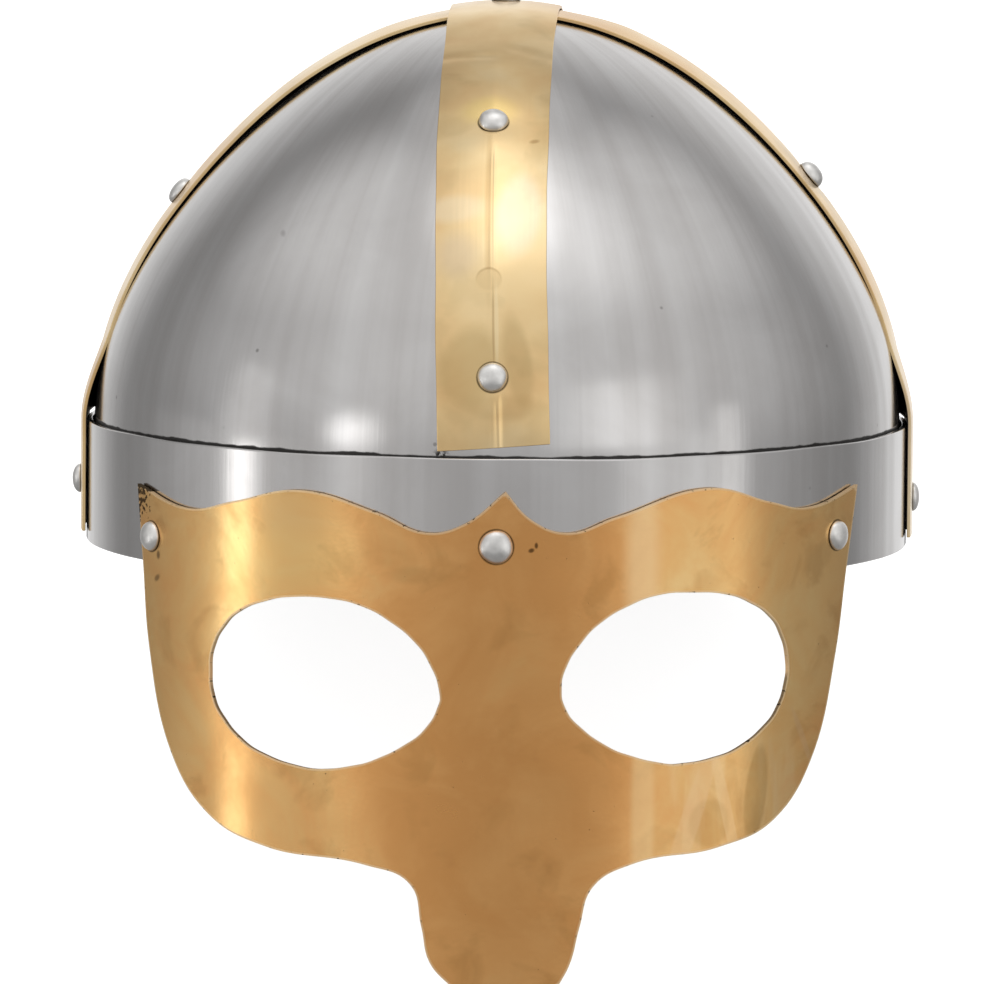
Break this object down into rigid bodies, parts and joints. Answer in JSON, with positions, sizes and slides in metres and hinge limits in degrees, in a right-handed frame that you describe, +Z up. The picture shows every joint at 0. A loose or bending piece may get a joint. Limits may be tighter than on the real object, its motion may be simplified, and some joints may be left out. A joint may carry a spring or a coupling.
{
  "type": "spectacle helmet",
  "caption": "Riveted metal helmet: domed skull in a brow band, straps crossed over the crown, and a face mask with eye holes and a nose guard, lying tilted back.",
  "frame": {"origin": "on the surface it rests on, under the middle of its bounding box", "axes": "+Z up from that surface, +Y from the face to the back of the head, +X to the right of someone looking at the mask; the helmet's own upright axis leans back 23 degrees about X, as it rests on the tip of the nose guard and the back of the rim"},
  "size_m": [0.2172, 0.2748, 0.1809],
  "materials": {
    "polished_steel": "hand-polished steel with faint brush streaks",
    "strap_brass": "satin, lightly streaked",
    "mask_brass": "satin, tarnished and smeared",
    "rivet_steel": "hammered domes, polished"
  },
  "bodies": {
    "root": {"skull": "polished_steel", "brow_band": "polished_steel", "strap_front_to_back": "strap_brass", "strap_ear_to_ear": "strap_brass", "mask": "mask_brass", "rivet_front_lower": "rivet_steel", "rivet_front_upper": "rivet_steel", "rivet_crown": "rivet_steel", "rivet_back_upper": "rivet_steel", "rivet_back_lower": "rivet_steel", "rivet_left_upper": "rivet_steel", "rivet_left_lower": "rivet_steel", "rivet_right_upper": "rivet_steel", "rivet_right_lower": "rivet_steel", "rivet_mask_left": "rivet_steel", "rivet_mask_centre": "rivet_steel", "rivet_mask_right": "rivet_steel"}
  },
  "joints": []
}
